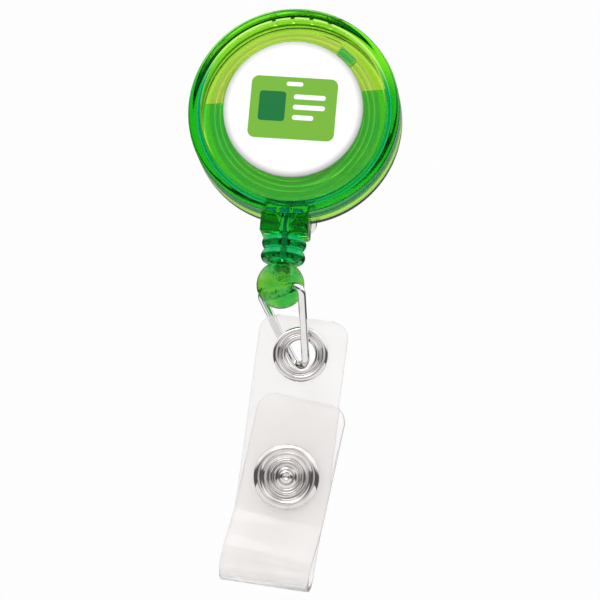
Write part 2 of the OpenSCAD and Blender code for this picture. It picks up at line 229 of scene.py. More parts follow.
def tube(name, path, radius, place, sides=16):
    """Circles of one radius along a path: p + radius (n cos(a) + b sin(a)), where n and b are
    square to the path. A last ring of no radius closes each end."""
    path = np.asarray(path, float)
    along = np.gradient(path, axis=0)
    along /= np.linalg.norm(along, axis=1)[:, None]
    normal = np.zeros_like(path)
    guess = np.array([0.3, 0.2, 1.0]) if abs(along[0][2]) < 0.8 else np.array([1.0, 0.2, 0.3])
    for i, direction in enumerate(along):
        guess = guess - direction * (guess @ direction)
        guess /= np.linalg.norm(guess)
        normal[i] = guess
    across = np.cross(along, normal)
    angle = np.linspace(0, 2 * np.pi, sides + 1)[None, :, None]
    spokes = normal[:, None] * np.cos(angle) + across[:, None] * np.sin(angle)
    rings = path[:, None] + radius * spokes
    ends = [np.repeat(p[None, None], sides + 1, 1) for p in (path[0], path[-1])]
    return surface(name, place(np.concatenate([ends[0], rings, ends[1]])))


# %% [markdown]
# Flat strips and the casing's neck have a rounded rectangle for a cross-section. It is a circle
# whose four quarters are moved out to the corners.

# %% Rounded rectangles and bars
def rounded_loop(half_w, half_h, corner, steps=32):
    """A closed rounded rectangle: corner (cos a, sin a) + (sign of cos, sign of sin) times what
    is left of each half side."""
    angle = (np.arange(steps) + 0.5) * 2 * np.pi / steps
    x = corner * np.cos(angle) + np.sign(np.cos(angle)) * (half_w - corner)
    y = corner * np.sin(angle) + np.sign(np.sin(angle)) * (half_h - corner)
    loop = np.stack([x, y], -1)
    return np.concatenate([loop, loop[:1]])


def bar(name, half_w, low, high, bottom, top, corner, end_ease, place):
    """A rounded bar along local y: its cross-section spans low to high in z, and shrinks by
    ease (1 - cos a) while it moves on by ease sin a at each end."""
    bow = np.radians(np.linspace(90, 0, 6))
    inset = np.concatenate([end_ease * (1 - np.cos(bow)), end_ease * (1 - np.cos(bow[::-1]))])
    y = np.concatenate([bottom + end_ease * (1 - np.sin(bow)),
                        top - end_ease * (1 - np.sin(bow[::-1]))])
    rows = []
    for shrink, at in zip(inset, y):
        loop = rounded_loop(half_w - shrink, (high - low) / 2 - shrink, max(corner - shrink, 0.02))
        rows.append(np.stack([loop[:, 0], 0 * loop[:, 0] + at, loop[:, 1] + (low + high) / 2], -1))
    caps = [np.repeat(row.mean(0)[None], len(row), 0) for row in (rows[0], rows[-1])]
    return surface(name, place(np.stack([caps[0], *rows, caps[1]])))


# %% [markdown]
# Real holes and fused ribs are made with booleans, once, on closed meshes. The tool is removed
# afterwards, so only the finished piece stays.

# %% Fusing and cutting
def combined(obj, tools, operation):
    """Fuses or cuts closed meshes into obj and applies the result."""
    for tool in tools:
        change = obj.modifiers.new("combine", "BOOLEAN")
        change.operation = operation
        change.solver = "EXACT"
        change.object = tool
    bpy.context.view_layer.update()
    graph = bpy.context.evaluated_depsgraph_get()
    mesh = bpy.data.meshes.new_from_object(obj.evaluated_get(graph))
    obj.modifiers.clear()
    obj.data = mesh
    for tool in tools:
        bpy.data.objects.remove(tool)
    return obj


def rod(radius, start, end, place, sides=48):
    """A plain closed cylinder between two local points, used as a cutting tool."""
    return tube("tool", even_path([start, end], 2), radius, place, sides)


# %% [markdown]
# The casing is two clear mouldings that snap together. The front one is a turned shell with a
# raised band round the label, a fine step outside the band and a wide rounding. The front half
# of the neck, four snap ribs and a locating rib are moulded on it, and three shallow windows are
# sunk at the root of the neck.

# %% The front of the casing
PARTING = CORD_DEPTH
PLATE_UNDER = BAND_DEPTH - 1.5
SKIRT_IN = 14.72
BAND_OUT = 13.9
LOCATOR = math.radians(50.5)
NECK_HALF_W = 3.6
NECK_ROOT = -14.86
BORE_R = 0.8
RIB_FIRST = 107
RIB_PITCH = 11.3

front_outline = eased([
    (0, PLATE_UNDER, 0), (0, BAND_DEPTH - 0.3, 0), (LABEL_R + 0.1, BAND_DEPTH - 0.3, 0.05),
    (LABEL_R + 0.12, BAND_DEPTH, 0.12), (BAND_OUT, BAND_DEPTH, 0.1),
    (BAND_OUT + 0.15, BAND_DEPTH - 0.25, 0.06), (CASE_R, BAND_DEPTH - 0.25, 1.75),
    (CASE_R, PARTING, 0.16), (SKIRT_IN, PARTING, 0.05), (SKIRT_IN, PLATE_UNDER, 0.7),
    (0, PLATE_UNDER, 0)], 9)
casing_front = turned("casing_front", front_outline, on_casing)
ribs = []
for number in range(4):
    angle = math.radians(RIB_FIRST - RIB_PITCH * number)
    ribs.append(bar("rib", 0.3, 5.75, PLATE_UNDER + 0.3, 14.2, 15.0, 0.08, 0.05,
                    lambda p, a=angle: on_casing(turn_z(p, a - math.pi / 2))))
ribs.append(bar("locator", 1.45, 6.95, PLATE_UNDER + 0.3, 10.8, 12.0, 0.06, 0.05,
                lambda p: on_casing(turn_z(p, LOCATOR - math.pi / 2))))
neck = bar("neck", NECK_HALF_W, PARTING + 0.02, 7.5, NECK_END, NECK_ROOT, 0.5, 0.35, on_casing)
windows = [bar("window", 0.75, 7.1, 8.2, -16.4, -15, 0.1, 0.05,
               lambda p, x=x: on_casing(p + np.array([x, 0, 0]))) for x in (-2, 0, 2)]
bore = rod(BORE_R, (0, -20, PARTING), (0, -14, PARTING), on_casing)
combined(casing_front, [neck, *ribs], "UNION")
combined(casing_front, [bore, *windows], "DIFFERENCE")
finished(casing_front, "casing", ["front_shell"])

# %% [markdown]
# The back moulding has a flat back, a rounded rim with two fine mould lines round its side, and
# the lip that snaps into the front one. The post that the spool turns on stands on its floor.

# %% The back of the casing
LIP_OUT, LIP_IN, LIP_TOP = 14.65, 14.1, 5.65
POST_R, POST_BORE, POST_TOP = 2.4, 1.65, 7.3
WALL = 1.2
LINE_R = CASE_R - 0.09
back_outline = eased([
    (0, 0, 0), (CASE_R, 0, 1.5), (CASE_R, 2.5, 0.04), (LINE_R, 2.58, 0.04),
    (LINE_R, 2.66, 0.04), (CASE_R, 2.74, 0.04), (CASE_R, 3.5, 0.04), (LINE_R, 3.58, 0.04),
    (LINE_R, 3.66, 0.04), (CASE_R, 3.74, 0.04), (CASE_R, PARTING - 0.02, 0.16),
    (LIP_OUT, PARTING - 0.02, 0.03), (LIP_OUT, LIP_TOP, 0.15), (LIP_IN, LIP_TOP, 0.15),
    (LIP_IN, WALL, 0.5), (POST_R, WALL, 0.1), (POST_R, POST_TOP, 0.1), (POST_BORE, POST_TOP, 0.1),
    (POST_BORE, WALL, 0.05), (1.05, WALL, 0.02), (0, WALL, 0)], 7)
casing_back = turned("casing_back", back_outline, on_casing)
neck = bar("neck", NECK_HALF_W, 1.5, PARTING - 0.04, NECK_END, NECK_ROOT, 0.5, 0.35, on_casing)
bore = rod(BORE_R, (0, -20, PARTING), (0, -13, PARTING), on_casing)
funnel = turned("funnel", np.array([(0, -17), (BORE_R, -16.7), (2.8, -13.3), (0, -13.3)]),
                on_cord, 48)
slot_tool = bar("slot", 0.25, 2.4, 8, 0, 3.2, 0.02, 0.02, on_casing)
combined(casing_back, [neck], "UNION")
combined(casing_back, [bore, funnel, slot_tool], "DIFFERENCE")
finished(casing_back, "casing", ["back_shell"])

# %% [markdown]
# The label is a thick printed disc with a domed edge. Its motif is a plain pictogram of a card.

# %% The label
label_top = -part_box("label_disc")[0].y / MM
label_foot = -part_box("label_disc")[1].y / MM
face_label = turned("face_label", eased([
    (0, label_foot, 0), (LABEL_R, label_foot, 0.03), (LABEL_R, label_top - 0.25, 0.2),
    (LABEL_R - 0.45, label_top, 0.4), (0, label_top, 0)], 9), on_casing)
finished(face_label, "casing", ["label_disc"])

# %% [markdown]
# The wound cord lies in four layers of three turns. Each turn runs level, and in the last sixth
# of it the cord steps across to the next place, or up to the next layer. The turns hold about
# 0.85 metres of cord, and the last part rises to where the cord's run starts.

# %% The cord on the spool
TURNS = 12
PER_LAYER = 3
WOUND_R = 0.39
RUN_START = (2.6, -13.1)


def step(t, width=0.16):
    """Whole turns, joined by a smooth step in the last part of each: 3 s^2 - 2 s^3."""
    whole = np.floor(t)
    s = np.clip((t - whole - 1 + width) / width, 0, 1)
    return whole + s * s * (3 - 2 * s)


turn = np.linspace(0, TURNS - 0.02, TURNS * 60)
place_number = np.minimum(step(turn), TURNS - 1)
layer = np.floor(place_number / PER_LAYER + 1e-9)
part = place_number - layer * PER_LAYER
climb = np.clip(part - (PER_LAYER - 1), 0, 1)
side = np.minimum(part, PER_LAYER - 1) / (PER_LAYER - 1)
side = np.where(layer % 2 == 0, side, 1 - side)
leaving = np.clip((turn - turn[-1] + 0.14) / 0.14, 0, 1) ** 1.5
wound_radius = 10.13 + 0.785 * (layer + climb)
wound_radius += (math.hypot(*RUN_START) - wound_radius) * leaving
wound_depth = 3.52 + 2.06 * side
wound_depth += (CORD_DEPTH - wound_depth) * leaving
wound_angle = math.atan2(RUN_START[1], RUN_START[0]) + 2 * np.pi * (turn[-1] - turn)
cord_turns = tube("cord_turns", np.stack([wound_radius * np.cos(wound_angle),
                                          wound_radius * np.sin(wound_angle), wound_depth], -1),
                  WOUND_R, on_casing, 10)
finished(cord_turns, "reel", ["cord_winding"])

# %% [markdown]
# From the spool the cord runs down through the funnel and the bore to the knot. The route
# repeats the engineering model's points.

# %% The cord's run and its knot
CORD_ROUTE = [RUN_START, (2.2, -13.35), (1.8, -13.62), (1.42, -13.92), (1.08, -14.28),
              (0.78, -14.7), (0.5, -15.2), (0.25, -15.7), (0.08, -16.2), (0, -16.8), (0, -18.5),
              (0, -20.5), (0, -22.3), (0, -23.7)]
route = even_path([(x, y, CORD_DEPTH) for x, y in CORD_ROUTE], 90)
cord_run = tube("cord_run", route, CORD_R, on_casing, 16)
finished(cord_run, None, ["cord_lead"])
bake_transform(cord_run)

t = np.linspace(0, 2 * np.pi, 120)
knot_path = 0.24 * np.stack([np.sin(t) + 2 * np.sin(2 * t), np.cos(t) - 2 * np.cos(2 * t),
                             -np.sin(3 * t)], -1) + np.array([0, 0, -24.4])
cord_knot_tied = tube("cord_knot_tied", knot_path, 0.36, on_cord, 12)
finished(cord_knot_tied, "cord_end", ["cord_knot"])

# %% [markdown]
# The ribbed stop is two round lobes on a thick sleeve, and the ball under it has a flat seat, a
# hollow for the knot and a cross hole for the wire.

# %% The ribbed stop and the ball
stop_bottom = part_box("cord_stop")[0].z / MM
LOBE = 1.03
lobes = [(0.6, STOP_TOP, 0.1), (2.2, STOP_TOP, 0.2)]
for top in (STOP_TOP, stop_bottom + 2 * LOBE):
    lobes += [(STOP_R - 0.45, top - 0.12, 0.5), (STOP_R, top - LOBE, 0.55),
              (STOP_R - 0.45, top - 2 * LOBE + 0.12, 0.5), (2.45, top - 2 * LOBE - 0.02, 0.14)]
lobes = lobes[:-1] + [(2.2, stop_bottom, 0.2), (0.6, stop_bottom, 0.1), (0.6, STOP_TOP, 0)]
ribbed_stop = turned("ribbed_stop", eased(lobes, 8), on_cord)
finished(ribbed_stop, "end_fitting", ["cord_stop"])

seat_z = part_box("end_ball")[1].z / MM
seat_r = math.sqrt(BALL_R ** 2 - (seat_z - BALL_Z) ** 2)
seat_angle = math.degrees(math.atan2(seat_z - BALL_Z, seat_r))
cavity_angle = math.degrees(math.acos(0.6 / 1.2))
ball_outline = np.concatenate([
    [(0, BALL_Z - BALL_R)], arc(0, BALL_Z, BALL_R, -88, seat_angle - 2, 64),
    eased([(seat_r, seat_z, 0), (0.6, seat_z, 0.08), (0.6, -23.4, 0)], 5),
    arc(0, -24.4, 1.2, cavity_angle, -88, 20), [(0, -25.6)]])
cord_ball = turned("cord_ball", ball_outline, on_cord)


def along_hole(points):
    """Local x runs along the ball's cross hole, which is turned 45 degrees from X."""
    return on_cord(turn_z(points, math.radians(-45)) + np.array([0, 0, HOLE_Z]))


combined(cord_ball, [rod(WIRE_R + 0.06, (-6, 0, 0), (6, 0, 0), along_hole)], "DIFFERENCE")
finished(cord_ball, "end_fitting", ["end_ball"])

# %% [markdown]
# The link is one bright wire, bent into a rounded V. Its two ends turn in and go into the ball.
# The arms' angle follows from the link's width and height, and is found by halving an interval.

# %% The wire link
LINK_W = 9.8
LINK_H = 11.85
BEND = 1.5
CORNER = 0.9
LINK_SWING = 26.7

low, high = 5.0, 45.0
for _ in range(40):
    arm = (low + high) / 2
    width = (LINK_H + BEND * (1 / math.sin(math.radians(arm)) - 1)) * math.tan(math.radians(arm))
    low, high = (low, arm) if width > LINK_W / 2 else (arm, high)
reach = CORNER / math.tan(math.radians((90 - arm) / 2))
half_link = LINK_W / 2
link_route = np.concatenate([
    [(0.4, 0)], arc(half_link - reach, -CORNER, CORNER, 90, -arm, 14),
    arc(0, BEND - LINK_H, BEND, -arm, arm - 180, 28),
    arc(reach - half_link, -CORNER, CORNER, 180 + arm, 90, 14), [(-0.4, 0)]])
link_path = even_path(np.column_stack([link_route, 0 * link_route[:, 0]]), 150)


def on_link(points):
    """Local y is down the link, which hangs from the cross hole and swings back."""
    return along_hole(turn_x(points, math.radians(90 + LINK_SWING)))


link_wire = tube("link_wire", link_path, WIRE_R - 0.01, on_link, 28)
finished(link_wire, "link", ["wire_link"])

# %% [markdown]
# The strap is one strip of vinyl, folded up at the bottom so that its flap lies over the front.
# A strip is a rounded rectangle carried along a path in the plane of length and depth. Its width
# shrinks on a circle near each end, which rounds the corners.

# %% A strip along a path
def strip(name, path, thick, half_width, corner, place, lean=None, both_ends=True):
    """A flat bar: path (y, z) + width x across + thickness along the path's normal. Within the
    corner radius r of an end, at distance d from it, the half width is
    w - r + sqrt(r^2 - (r - d)^2)."""
    path = np.asarray(path, float)
    along = np.gradient(path, axis=0)
    along /= np.linalg.norm(along, axis=1)[:, None]
    normal = np.stack([-along[:, 1], along[:, 0]], -1)
    length = np.concatenate([[0], np.cumsum(np.linalg.norm(np.diff(path, axis=0), axis=1))])
    to_end = np.minimum(length, length[-1] - length) if both_ends else length[-1] - length
    d = np.clip(to_end, 0, corner)
    width = half_width - corner + np.sqrt(np.clip(corner ** 2 - (corner - d) ** 2, 0, None))
    edge = 0.45 * thick
    rows = []
    for at, out, half in zip(path, normal, width):
        loop = rounded_loop(half, thick / 2, edge)
        rows.append(np.stack([loop[:, 0], at[0] + out[0] * loop[:, 1],
                              at[1] + out[1] * loop[:, 1]], -1))
    rows = np.array(rows)
    if lean is not None:
        rows = lean(rows, length)
    caps = [np.repeat(row.mean(0)[None], len(row), 0) for row in (rows[0], rows[-1])]
    return surface(name, place(np.concatenate([caps[0][None], rows, caps[1][None]]))), length[-1]


# %% The vinyl strap
STRAP_W = 13.4
STRAP_T = 0.76
STRAP_TOP = 5.5
STRAP_DROP = 34.7
FOLD_R = 3.0
FOLD_Y = -STRAP_DROP + FOLD_R + STRAP_T / 2
LAYER_GAP = 2.3
FOLD_DRIFT = -0.4
FLAP_TOP = -6.5
SNAP_AT = (0.65, -18.4)
EYELET_HOLE = 2.25

rear = np.column_stack([np.linspace(STRAP_TOP, FOLD_Y, 90), np.zeros(90)])
bend_angle = np.radians(np.linspace(0, 178, 40))[1:]
fold = np.column_stack([FOLD_Y - FOLD_R * np.sin(bend_angle), FOLD_R - FOLD_R * np.cos(bend_angle)])
rise = np.linspace(0, 1, 30)[1:]
ease_in = rise ** 2 * (3 - 2 * rise)
closing = np.column_stack([FOLD_Y + 0.15 + 7.6 * rise, 6 - (6 - LAYER_GAP) * ease_in])
flap = np.column_stack([np.linspace(closing[-1, 0], FLAP_TOP, 50)[1:], np.full(49, LAYER_GAP)])
strap_path = np.concatenate([rear, fold, closing, flap])


def flap_turn(rows, length):
    """Turns the flap about the fold, by an angle that grows along the fold, after the strap has
    drifted sideways a little above it. Both grow by 3 s^2 - 2 s^3."""
    to_fold = STRAP_TOP - FOLD_Y
    turn_by, drift_by = [np.clip((length - start) / over, 0, 1)[:, None]
                         for start, over in ((to_fold + 3, 6.5), (to_fold - 12, 15))]
    turn_by, drift_by = [s * s * (3 - 2 * s) for s in (turn_by, drift_by)]
    pivot = np.array([0, FOLD_Y, 0])
    drift = np.stack([FOLD_DRIFT * drift_by, 0 * drift_by, 0 * drift_by], -1)
    return turn_z(rows - pivot, FLAP_LEAN * turn_by) + pivot + drift


strap_strip, strap_length = strip("strap_strip", strap_path, STRAP_T, STRAP_W / 2, 2.6, on_strap,
                                  flap_turn)
combined(strap_strip, [rod(2.65, (0, 0, -2), (0, 0, 1.2), on_strap),
                       rod(1.25, (*SNAP_AT, -2), (*SNAP_AT, 4), on_strap, 32)], "DIFFERENCE")
finished(strap_strip, None, ["strap_back", "strap_flap"])
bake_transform(strap_strip)
print("strap's cut length:", round(strap_length, 1), "mm")

# %% [markdown]
# The eyelet, its washer and the four parts of the press snap are stamped and rolled metal, so
# each is a turned outline. Grooves and rolled rims are what catches the light on them.

# %% The eyelet and its washer
FACE = STRAP_T / 2
RIM = 4.15
eyelet_ring = turned("eyelet_ring", ring(eased([
    (EYELET_HOLE, -FACE - 0.36, 0.05), (EYELET_HOLE, FACE + 0.42, 0.2),
    (EYELET_HOLE + 0.5, FACE + 0.5, 0.2), (2.98, FACE + 0.24, 0.1), (3.1, FACE + 0.24, 0.1),
    (3.35, FACE + 0.5, 0.2), (3.8, FACE + 0.5, 0.25), (RIM, FACE + 0.26, 0.2),
    (RIM - 0.04, FACE, 0.08), (2.6, FACE, 0.05), (2.6, -FACE - 0.36, 0.05),
    (EYELET_HOLE, -FACE - 0.36, 0)], 7)[:-1]), on_strap)
finished(eyelet_ring, "strap", ["eyelet_barrel"])
eyelet_back = turned("eyelet_back", ring(eased([
    (2.65, -FACE, 0.05), (2.65, -FACE - 0.36, 0.1), (3.4, -FACE - 0.4, 0.2),
    (4.05, -FACE - 0.34, 0.2), (4.05, -FACE, 0.05), (2.65, -FACE, 0)], 7)[:-1]), on_strap)
finished(eyelet_back, "strap", ["eyelet_washer"])


# %% The press snap
def on_snap(points):
    """From the snap's centre on the rear layer."""
    return on_strap(points + np.array([*SNAP_AT, 0]))


def on_cap(points):
    """From the snap's centre on the flap."""
    return on_snap(points + np.array([0, 0, LAYER_GAP]))


SNAP_R = 4.95
snap_front = turned("snap_front", eased([
    (0, FACE + 1.32, 0), (0.22, FACE + 1.34, 0.1), (0.45, FACE + 1.5, 0.15),
    (0.95, FACE + 1.38, 0.25), (1.2, FACE + 0.62, 0.2), (1.9, FACE + 0.45, 0.3),
    (2.3, FACE + 0.95, 0.12), (2.62, FACE + 0.95, 0.12), (2.8, FACE + 0.6, 0.12),
    (3.35, FACE + 0.55, 0.1), (3.6, FACE + 1.2, 0.25), (4.25, FACE + 1.4, 0.4),
    (SNAP_R, FACE + 0.9, 0.5), (SNAP_R, FACE + 0.15, 0.25), (4.5, FACE, 0.2),
    (1.2, FACE, 0.02), (1.2, -FACE - 0.33, 0.1), (0, -FACE - 0.33, 0)], 9), on_cap)
finished(snap_front, "flap", ["snap_cap"])
snap_cup = turned("snap_cup", ring(eased([
    (1.26, -FACE, 0.02), (3.9, -FACE, 0.15), (3.9, -FACE - 0.7, 0.3), (2.1, -FACE - 0.7, 0.2),
    (2.1, -FACE - 0.25, 0.1), (1.26, -FACE - 0.25, 0.05), (1.26, -FACE, 0)], 7)[:-1]), on_cap)
finished(snap_cup, "flap", ["snap_socket"])
snap_stud_head = turned("snap_stud_head", eased([
    (0, FACE + 0.35, 0), (1.25, FACE + 0.35, 0.02), (1.25, FACE, 0.02), (3.6, FACE, 0.1),
    (3.6, FACE + 0.3, 0.15), (2.0, FACE + 0.3, 0.15), (1.8, FACE + 0.6, 0.1),
    (1.85, FACE + 0.95, 0.25), (0, FACE + 0.95, 0)], 7), on_snap)
finished(snap_stud_head, "strap", ["snap_stud"])
snap_back = turned("snap_back", eased([
    (0, -FACE - 0.2, 0), (1.3, -FACE - 0.24, 0.2), (1.7, -FACE - 0.43, 0.15),
    (3.2, -FACE - 0.45, 0.4), (4.0, -FACE - 0.2, 0.2), (4.0, -FACE, 0.05), (1.2, -FACE, 0.02),
    (1.2, FACE + 0.28, 0.1), (0, FACE + 0.28, 0)], 7), on_snap)
finished(snap_back, "strap", ["snap_post"])

# %% [markdown]
# The belt clip is one strip of sprung steel. It is split at the top of its fold into the riveted
# plate and the arm that flexes, and the two meet there with no gap.

# %% The belt clip and its rivet
CLIP_T = 0.6
CLIP_W = 8.0
CLIP_TOP = 12.2
CLIP_BEND = 1.8
plate_mid = -CLIP_T / 2
arm_mid = plate_mid - 2 * CLIP_BEND

plate_path = np.concatenate([
    np.column_stack([np.linspace(-5, CLIP_TOP, 50), np.full(50, plate_mid)]),
    arc(CLIP_TOP, plate_mid - CLIP_BEND, CLIP_BEND, 86, 1, 20)])
clip_base, _ = strip("clip_base", plate_path[::-1], CLIP_T, CLIP_W / 2, 1.2, on_casing,
                     both_ends=False)
combined(clip_base, [rod(1.05, (0, 0, -2), (0, 0, 1), on_casing, 40)], "DIFFERENCE")
finished(clip_base, "casing", ["clip_plate"])

arm_corners = [(CLIP_TOP, arm_mid, 0), (6, arm_mid + 0.35, 3), (-4, arm_mid + 1.85, 3),
               (-9.4, arm_mid + 3.15, 1), (-10.6, arm_mid + 3.25, 0.6), (-12, arm_mid + 2.9, 0.8),
               (-16.6, arm_mid + 1.5, 0)]
arm_path = np.concatenate([arc(CLIP_TOP, arm_mid + CLIP_BEND, CLIP_BEND, -1, -86, 20),
                           eased(arm_corners, 12)])
arm_path = even_path(np.column_stack([arm_path, 0 * arm_path[:, 0]]), 120)[:, :2]
clip_spring_arm, _ = strip("clip_spring_arm", arm_path, CLIP_T, CLIP_W / 2, 2.0, on_casing,
                           both_ends=False)
finished(clip_spring_arm, "clip", ["clip_arm"])
rivet = turned("rivet", eased([
    (0, -CLIP_T - 0.55, 0), (1.2, -CLIP_T - 0.45, 0.5), (1.9, -CLIP_T - 0.05, 0.15),
    (1.85, -CLIP_T, 0.04), (1.0, -CLIP_T, 0.02), (1.0, 1.2, 0.02), (1.5, 1.22, 0.05),
    (1.45, 1.55, 0.15), (0.9, 1.65, 0.2), (0, 1.65, 0)], 8), on_casing)
finished(rivet, "casing", ["clip_rivet"])

# %% [markdown]
# Shader maths reads best as plain arithmetic. A small class wraps one output of a node tree, and
# its operators add Math nodes. Every other node comes from one function, which takes the node's
# type, its settings and what goes into its sockets.

# %% Sockets that can be added and multiplied
def node(tree, kind, settings=None, inputs=None, output=0):
    """Adds a node, sets its settings, then its inputs, and gives the wrapped output."""
    made = tree.nodes.new(kind)
    for key, value in (settings or {}).items():
        setattr(made, key, value)
    for key, value in (inputs or {}).items():
        if isinstance(value, Wire):
            tree.links.new(value.socket, made.inputs[key])
        else:
            made.inputs[key].default_value = value
    return Wire(tree, made.outputs[output])


class Wire:
    """One output socket. Arithmetic on it adds Math nodes to its tree."""

    def __init__(self, tree, socket):
        self.tree = tree
        self.socket = socket

    def math(self, operation, *others, first=None):
        values = (first, self) if first is not None else (self, *others)
        return node(self.tree, "ShaderNodeMath", {"operation": operation}, dict(enumerate(values)))

    def __add__(self, other):
        return self.math("ADD", other)

    def __mul__(self, other):
        return self.math("MULTIPLY", other)

    def __sub__(self, other):
        return self.math("SUBTRACT", other)

    def __rsub__(self, other):
        return self.math("SUBTRACT", first=other)

    def __abs__(self):
        return self.math("ABSOLUTE")

    __radd__ = __add__
    __rmul__ = __mul__

    def most(self, other):
        return self.math("MAXIMUM", other)

    def ramp(self, low, high):
        """0 below low, 1 above high, and a smooth step between them."""
        return node(self.tree, "ShaderNodeMapRange", {"interpolation_type": "SMOOTHSTEP"},
                    {"Value": self, "From Min": low, "From Max": high,
                     "To Min": 0.0, "To Max": 1.0})


def blended(tree, share, a, b):
    """Colour a where share is 0 and colour b where it is 1."""
    a, b = [(*c, 1) if isinstance(c, tuple) else c for c in (a, b)]
    return node(tree, "ShaderNodeMix", {"data_type": "RGBA"}, {0: share, 6: a, 7: b}, 2)


def noise(tree, where, scale, detail=3.0):
    """Soft random variation from 0 to 1. The scale is in features per metre."""
    return node(tree, "ShaderNodeTexNoise", {}, {"Vector": where, "Scale": scale, "Detail": detail})


def places(tree):
    """Object coordinates as a vector, and x, y and z in millimetres."""
    where = node(tree, "ShaderNodeTexCoord", output=3)
    split = node(tree, "ShaderNodeSeparateXYZ", {}, {0: where})
    outs = split.socket.node.outputs
    return where, *[Wire(tree, outs[k]) * 1000.0 for k in range(3)]


def bump(tree, height, depth_mm):
    """A normal that is tilted by a height from 0 to 1, over a depth in millimetres."""
    return node(tree, "ShaderNodeBump", {}, {"Strength": 1.0, "Distance": depth_mm * MM,
                                             "Height": height})


def finish_of(name):
    """An empty material: its tree, and its output node."""
    material = bpy.data.materials.new(name)
    material.use_nodes = True
    material.node_tree.nodes.clear()
    out = material.node_tree.nodes.new("ShaderNodeOutputMaterial")
    return material, material.node_tree, out


def shader(tree, out, inputs):
    """A Principled shader with these inputs, joined to the output."""
    made = node(tree, "ShaderNodeBsdfPrincipled", {}, inputs)
    tree.links.new(made.socket, out.inputs["Surface"])
    return made


def dress(material, *objects):
    """Gives a material to every slot of each object."""
    for obj in objects:
        obj.data.materials.clear()
        obj.data.materials.append(material)


# %% [markdown]
# Clear green plastic is a transmitting surface over a coloured body. The colour deepens with
# thickness, which is what Volume Absorption does: red and blue die out first. A tint on the
# surface stands for the dye's cloudiness, and on the casing it also carries painted light from
# above. Its straight-on reflections are greenish too, and low waves and a few scuffs break up its
# gloss.

# %% Clear green plastic
def clear_plastic(name, dye, strength, tint, waves=0.02, wave_scale=160.0):
    """dye is what is left of white light, and strength is how fast the rest goes, per metre."""
    material, tree, out = finish_of(name)
    where, x, y, z = places(tree)
    flow = noise(tree, where, wave_scale)
    scuffs = noise(tree, where, 2600.0, 6.0)
    shader(tree, out, {
        "Base Color": tint(tree, where, x, y, z, flow), "Transmission Weight": 1.0, "IOR": 1.49,
        "Specular Tint": (0.12, 0.6, 0.25, 1),
        "Roughness": 0.02 + scuffs.ramp(0.55, 0.9) * 0.12 + flow * 0.03,
        "Normal": bump(tree, flow, waves)})
    volume = node(tree, "ShaderNodeVolumeAbsorption", {}, {"Color": (*dye, 1), "Density": strength})
    tree.links.new(volume.socket, out.inputs["Volume"])
    return material


def casing_tint(tree, where, x, y, z, flow):
    """Yellow-green over the band, and deep green outside it, on the locating rib and down the neck.
    Towards the top the deep green fades to a pale colour, which is painted light from above, and it
    also fades behind the front shell."""
    radius = (x * x + z * z).math("SQRT")
    outside = radius.ramp(13.8, 14.1)
    # Outside the raised band the deep green stands for the thicker wall; its fade towards the top
    # is painted light from above.
    band_deep_with_painted_top_light = outside * (1 - z.ramp(3.0, 10.0))
    neck = 1 - z.ramp(-15.0, -13.6)
    along = x * math.cos(LOCATOR) + z * math.sin(LOCATOR)
    across = z * math.cos(LOCATOR) - x * math.sin(LOCATOR)
    block = along.ramp(10.7, 10.8) * (1 - along.ramp(12.0, 12.1)) * (1 - abs(across).ramp(1.4, 1.5))
    deep = band_deep_with_painted_top_light.most(neck).most(block * 0.8) * (1 - y.ramp(-4.8, -4.2))
    light = blended(tree, flow.ramp(0.35, 0.7), (0.83, 0.82, 0.5), (0.74, 0.8, 0.42))
    # The pale yellowish colour outside the raised band is painted light from above, where the deep
    # green fades near the top of the front shell; it also covers the back shell's rim.
    light = blended(tree, outside, light, (0.93, 1.0, 0.8))
    return blended(tree, deep * 0.98, light, (0.01, 0.55, 0.75))


def even_tint(a, b):
    """Two close colours in soft patches."""
    return lambda tree, where, x, y, z, flow: blended(tree, flow.ramp(0.35, 0.65), a, b)


casing_plastic = clear_plastic("clear_green_casing", (0.75, 0.97, 0.3), 700.0, casing_tint)
stop_plastic = clear_plastic("clear_green_stop", (0.1, 0.8, 0.45), 380.0,
                             even_tint((0.03, 0.68, 0.42), (0.06, 0.76, 0.46)))
ball_plastic = clear_plastic("clear_green_ball", (0.3, 0.8, 0.25), 330.0,
                             even_tint((0.04, 0.55, 0.3), (0.6, 0.75, 0.16)), 0.5, 330.0)
spool_plastic = clear_plastic("clear_green_spool", (0.8, 0.96, 0.3), 500.0,
                              even_tint((0.85, 1.0, 0.45), (0.8, 0.98, 0.4)))
cover_plastic = clear_plastic("clear_green_cover", (0.1, 0.86, 0.8), 700.0,
                              even_tint((0.2, 0.86, 0.6), (0.34, 0.9, 0.55)))
dress(casing_plastic, casing_front, casing_back)
dress(stop_plastic, ribbed_stop)
dress(ball_plastic, cord_ball)
dress(spool_plastic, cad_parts["spool"])
dress(cover_plastic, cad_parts["spool_cover"])
print("five clear plastics made")

# %% [markdown]
# The label is white gloss film with two green inks. Its motif is a card: a rounded rectangle, a
# small square for a picture, and three lines for writing. Each shape is a distance that is
# compared with zero, so its edge is crisp at any size.

